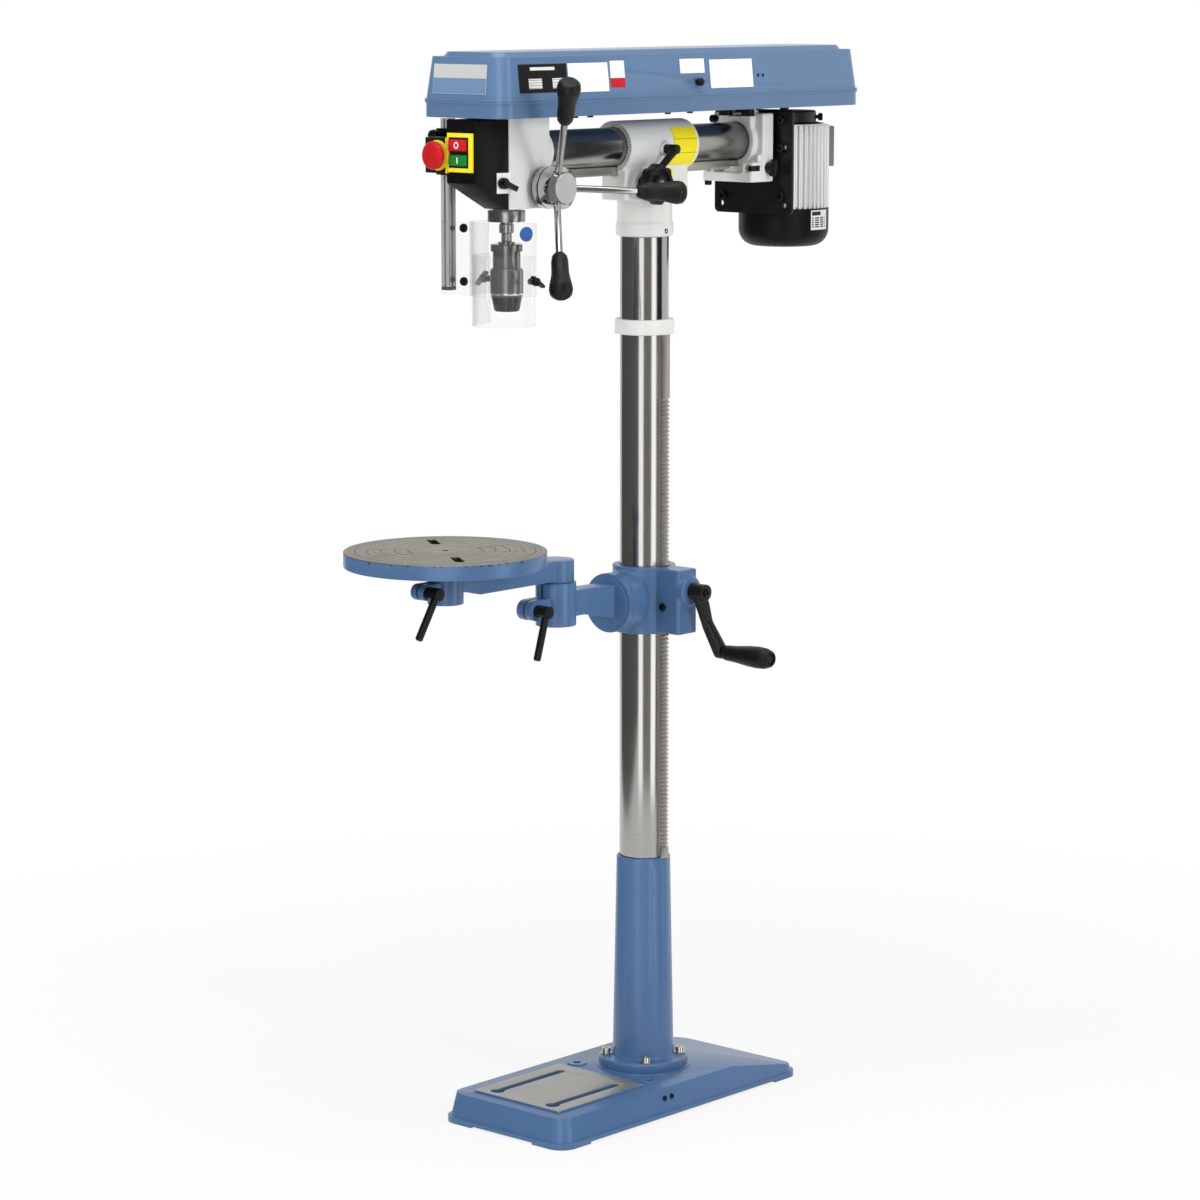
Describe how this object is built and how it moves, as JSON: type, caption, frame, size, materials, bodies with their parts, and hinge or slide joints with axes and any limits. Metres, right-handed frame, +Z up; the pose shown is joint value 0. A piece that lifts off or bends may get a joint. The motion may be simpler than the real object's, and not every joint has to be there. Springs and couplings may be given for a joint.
{
  "type": "pillar drill",
  "caption": "Floor-standing radial pillar drill with a tilting ram head, belt drive, chuck guard, toothed column lift and a round table on a swinging arm.",
  "frame": {"origin": "centre of the column on the floor", "axes": "+Z up along the column, -Y to the operator at the front, +X to the feed handles and table crank"},
  "size_m": [0.3691, 0.997, 1.5875],
  "materials": {
    "blue_cast": "glossy blue enamel on castings",
    "blue_sheet": "glossy blue enamel on the belt cover",
    "light_cast": "light grey enamel on castings",
    "steel": "bare machined steel",
    "bolt_steel": "zinc-plated steel",
    "black_steel": "blackened steel",
    "aluminium": "bare aluminium",
    "black_plastic": "black moulded plastic",
    "black_paint": "black enamel",
    "yellow_plastic": "yellow moulded plastic",
    "green_plastic": "green moulded plastic",
    "red_plastic": "red moulded plastic",
    "clear_plastic": "clear polycarbonate",
    "belt_rubber": "black belt rubber",
    "grey_plastic": "grey moulded plastic"
  },
  "bodies": {
    "stand": {"base_casting": "blue_cast", "pedestal": "blue_cast", "flange_bolts": "bolt_steel", "column_tube": "steel", "column_ring": "light_cast"},
    "rack": {"table_rack": "steel"},
    "bracket": {"table_bracket": "blue_cast"},
    "lift_gear": {"lift_gear": "steel"},
    "worm": {"worm_shaft": "steel", "crank_arm": "black_paint"},
    "crank_grip": {"crank_grip": "black_plastic"},
    "column_lever": {"column_lock_lever": "black_plastic"},
    "lower_arm": {"lower_arm": "blue_cast"},
    "lower_lever": {"lower_clamp_lever": "black_plastic"},
    "upper_arm": {"upper_arm": "blue_cast"},
    "table_lever": {"table_clamp_lever": "black_plastic"},
    "table": {"round_table": "blue_cast"},
    "swivel": {"ram_sleeve": "light_cast"},
    "ram_pinion": {"ram_pinion_shaft": "steel", "ram_handwheel": "black_plastic"},
    "ram_lever": {"ram_lock_lever": "black_plastic"},
    "carriage": {"ram_rack": "steel"},
    "ram": {"ram_tube": "steel", "head_casting": "light_cast", "front_housing": "black_plastic", "switch_box": "yellow_plastic", "guard_holder": "black_plastic", "spring_cover": "black_plastic", "cover_tray": "blue_sheet", "motor_bracket": "light_cast", "drive_belt": "belt_rubber"},
    "start": {"start_button": "green_plastic"},
    "stop": {"stop_button": "red_plastic"},
    "estop": {"estop_button": "red_plastic"},
    "selector": {"selector_knob": "black_plastic"},
    "quill": {"quill": "steel"},
    "spindle": {"spindle": "steel", "chuck_body": "black_steel", "chuck_jaws": "steel"},
    "chuck_sleeve": {"chuck_sleeve": "black_steel"},
    "feed": {"feed_hub": "steel", "feed_spokes": "steel", "feed_grips": "black_plastic"},
    "depth_ring": {"depth_ring": "steel"},
    "guard_knob": {"guard_knob": "black_plastic"},
    "guard": {"guard_post": "aluminium", "guard_shield": "clear_plastic", "guard_wing_nuts": "black_plastic"},
    "guard_slider": {"guard_slider": "clear_plastic"},
    "lid": {"cover_lid": "blue_sheet", "lid_knob": "black_plastic"},
    "spindle_pulley": {"spindle_pulley": "aluminium"},
    "motor": {"motor_plate": "black_paint", "motor_housing": "light_cast", "fan_cover": "black_plastic", "terminal_box": "grey_plastic"},
    "rotor": {"motor_rotor": "steel", "motor_pulley": "aluminium"},
    "motor_knob": {"motor_lock_knob": "black_plastic"}
  },
  "joints": [
    {"name": "table_swing", "type": "hinge", "parent": "stand", "child": "rack", "pos_m": [0, 0, 0.77], "axis": [0, 0, 1], "range_deg": [-180, 180]},
    {"name": "table_lift", "type": "slide", "parent": "rack", "child": "bracket", "axis": [0, 0, 1], "range_m": [-0.34, 0.298]},
    {"name": "lift_gear_turn", "type": "hinge", "parent": "bracket", "child": "lift_gear", "pos_m": [0.0556, 0, 0.7616], "axis": [0, 1, 0], "range_deg": [-1300, 1420]},
    {"name": "crank_turn", "type": "hinge", "parent": "bracket", "child": "worm", "pos_m": [0, 0, 0.7876], "axis": [1, 0, 0], "range_deg": [-20000, 20000]},
    {"name": "crank_grip_turn", "type": "hinge", "parent": "worm", "child": "crank_grip", "pos_m": [0, 0.02997, 0.69535], "axis": [1, 0, 0], "continuous": true},
    {"name": "column_lock_turn", "type": "hinge", "parent": "bracket", "child": "column_lever", "pos_m": [0, 0.062, 0.769], "axis": [1, 0, 0], "range_deg": [-25, 60]},
    {"name": "arm_tilt", "type": "hinge", "parent": "bracket", "child": "lower_arm", "pos_m": [0, 0, 0.7694], "axis": [0, 1, 0], "range_deg": [-45, 45]},
    {"name": "lower_clamp_turn", "type": "hinge", "parent": "lower_arm", "child": "lower_lever", "pos_m": [0, -0.252, 0.7794], "axis": [1, 0, 0], "range_deg": [-35, 55]},
    {"name": "arm_swing", "type": "hinge", "parent": "lower_arm", "child": "upper_arm", "pos_m": [0, -0.197, 0.8], "axis": [0, 0, 1], "range_deg": [-110, 110]},
    {"name": "table_clamp_turn", "type": "hinge", "parent": "upper_arm", "child": "table_lever", "pos_m": [0, -0.478, 0.8327], "axis": [1, 0, 0], "range_deg": [-50, 80]},
    {"name": "table_turn", "type": "hinge", "parent": "upper_arm", "child": "table", "pos_m": [0, -0.43, 0.87], "axis": [0, 0, 1], "continuous": true},
    {"name": "head_swivel", "type": "hinge", "parent": "stand", "child": "swivel", "pos_m": [0, 0, 1.34], "axis": [0, 0, 1], "range_deg": [-180, 180]},
    {"name": "ram_slide", "type": "slide", "parent": "swivel", "child": "carriage", "axis": [0, -1, 0], "range_m": [-0.16, 0.1]},
    {"name": "ram_wheel_turn", "type": "hinge", "parent": "swivel", "child": "ram_pinion", "pos_m": [0, -0.04, 1.39145], "axis": [1, 0, 0], "range_deg": [-660, 412]},
    {"name": "ram_lock_turn", "type": "hinge", "parent": "swivel", "child": "ram_lever", "pos_m": [0, 0, 1.441], "axis": [1, 0, 0], "range_deg": [0, 70]},
    {"name": "ram_tilt", "type": "hinge", "parent": "carriage", "child": "ram", "pos_m": [0, 0, 1.445], "axis": [0, 1, 0], "range_deg": [-45, 45]},
    {"name": "start_press", "type": "slide", "parent": "ram", "child": "start", "axis": [0, 1, 0], "range_m": [0, 0.002], "stiffness_N_per_m": 400},
    {"name": "stop_press", "type": "slide", "parent": "ram", "child": "stop", "axis": [0, 1, 0], "range_m": [0, 0.002], "stiffness_N_per_m": 400},
    {"name": "estop_press", "type": "slide", "parent": "ram", "child": "estop", "axis": [0, 1, 0], "range_m": [0, 0.004], "stiffness_N_per_m": 600},
    {"name": "selector_turn", "type": "hinge", "parent": "ram", "child": "selector", "pos_m": [0.03934, -0.35007, 1.4045], "axis": [0.9668, -0.2554, 0], "range_deg": [0, 90]},
    {"name": "quill_feed", "type": "slide", "parent": "ram", "child": "quill", "axis": [0, 0, -1], "range_m": [0, 0.08], "stiffness_N_per_m": 200},
    {"name": "spindle_spin", "type": "hinge", "parent": "quill", "child": "spindle", "pos_m": [0, -0.3, 1.4], "axis": [0, 0, 1], "continuous": true},
    {"name": "chuck_sleeve_turn", "type": "hinge", "parent": "spindle", "child": "chuck_sleeve", "pos_m": [0, -0.3, 1.245], "axis": [0, 0, 1], "range_deg": [-180, 180]},
    {"name": "feed_turn", "type": "hinge", "parent": "ram", "child": "feed", "pos_m": [0, -0.2722, 1.396], "axis": [1, 0, 0], "range_deg": [0, 438]},
    {"name": "depth_ring_turn", "type": "hinge", "parent": "feed", "child": "depth_ring", "pos_m": [0, -0.2722, 1.396], "axis": [1, 0, 0], "range_deg": [-180, 180]},
    {"name": "guard_knob_turn", "type": "hinge", "parent": "ram", "child": "guard_knob", "pos_m": [-0.083, -0.333, 1.468], "axis": [0, 1, 0], "range_deg": [-180, 180]},
    {"name": "guard_swing", "type": "hinge", "parent": "ram", "child": "guard", "pos_m": [-0.083, -0.333, 1.3], "axis": [0, 0, 1], "range_deg": [-110, 0]},
    {"name": "guard_lift", "type": "slide", "parent": "guard", "child": "guard_slider", "axis": [0, 0, 1], "range_m": [-0.02, 0.03]},
    {"name": "lid_open", "type": "hinge", "parent": "ram", "child": "lid", "pos_m": [-0.083, 0, 1.5191], "axis": [0, -1, 0], "range_deg": [0, 95]},
    {"name": "spindle_pulley_spin", "type": "hinge", "parent": "ram", "child": "spindle_pulley", "pos_m": [0, -0.3, 1.54], "axis": [0, 0, 1], "continuous": true},
    {"name": "motor_tension", "type": "slide", "parent": "ram", "child": "motor", "axis": [0, 1, 0], "range_m": [-0.008, 0]},
    {"name": "motor_spin", "type": "hinge", "parent": "motor", "child": "rotor", "pos_m": [0, 0.327, 1.4], "axis": [0, 0, 1], "continuous": true},
    {"name": "motor_lock_turn", "type": "hinge", "parent": "ram", "child": "motor_knob", "pos_m": [0, 0.229, 1.405], "axis": [1, 0, 0], "range_deg": [-90, 90]}
  ],
  "couplings": [
    {"joint": "lift_gear_turn", "follows": "table_lift", "rad_per_m": -71.429},
    {"joint": "crank_turn", "follows": "table_lift", "rad_per_m": 1000},
    {"joint": "ram_wheel_turn", "follows": "ram_slide", "rad_per_m": 71.429},
    {"joint": "feed_turn", "follows": "quill_feed", "rad_per_m": 95.238},
    {"joint": "spindle_pulley_spin", "follows": "spindle_spin", "ratio": 1},
    {"joint": "motor_spin", "follows": "spindle_spin", "ratio": 1}
  ]
}
